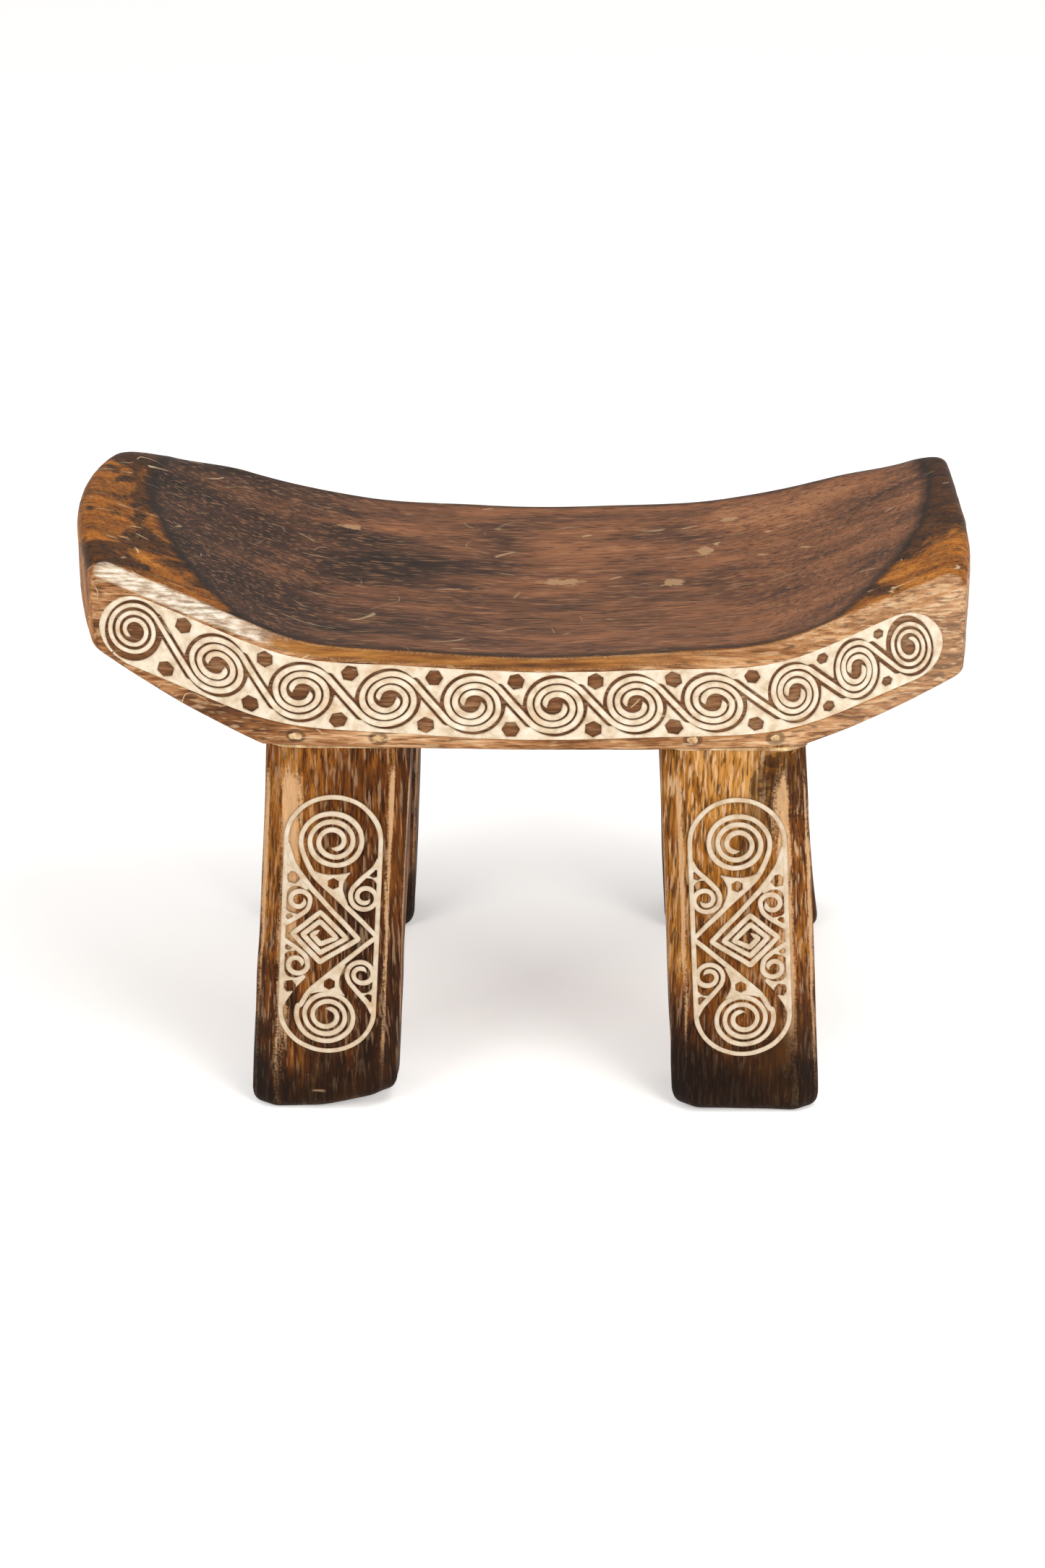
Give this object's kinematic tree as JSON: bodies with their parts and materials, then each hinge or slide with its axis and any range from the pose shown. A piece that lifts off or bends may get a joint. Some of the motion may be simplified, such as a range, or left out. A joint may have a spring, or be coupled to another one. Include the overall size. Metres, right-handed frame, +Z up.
{
  "type": "carved headrest",
  "caption": "Low carved wooden headrest with a dished saddle top on splayed pegged legs and lime-filled running spirals.",
  "frame": {"origin": "on the floor, at the middle of the outline", "axes": "+X along the length towards the right end, +Y towards the rear face, +Z up"},
  "size_m": [0.42, 0.225, 0.2797],
  "materials": {
    "seat_wood": "dark brown waxed hardwood, darker and smoother in the dish, orange brown on the rim",
    "leg_wood": "open-grained brown hardwood, smoked darker at the feet",
    "peg_wood": "pale cut end grain",
    "joint_filler": "matt cream filler",
    "lime_paste": "matt cream white lime, stained brown in the grooves"
  },
  "bodies": {
    "root": {"seat": "seat_wood", "leg_front_left": "leg_wood", "leg_front_right": "leg_wood", "leg_rear_left": "leg_wood", "leg_rear_right": "leg_wood", "peg_front_left_outer": "peg_wood", "peg_front_left_inner": "peg_wood", "peg_front_right_inner": "peg_wood", "peg_front_right_outer": "peg_wood", "peg_rear_left_outer": "peg_wood", "peg_rear_left_inner": "peg_wood", "peg_rear_right_inner": "peg_wood", "peg_rear_right_outer": "peg_wood", "bead_front_left": "joint_filler", "bead_front_right": "joint_filler", "bead_rear_left": "joint_filler", "bead_rear_right": "joint_filler", "band_lime_front": "lime_paste", "band_lime_rear": "lime_paste", "panel_lime_front_left": "lime_paste", "panel_lime_front_right": "lime_paste", "panel_lime_rear_left": "lime_paste", "panel_lime_rear_right": "lime_paste"}
  },
  "joints": []
}
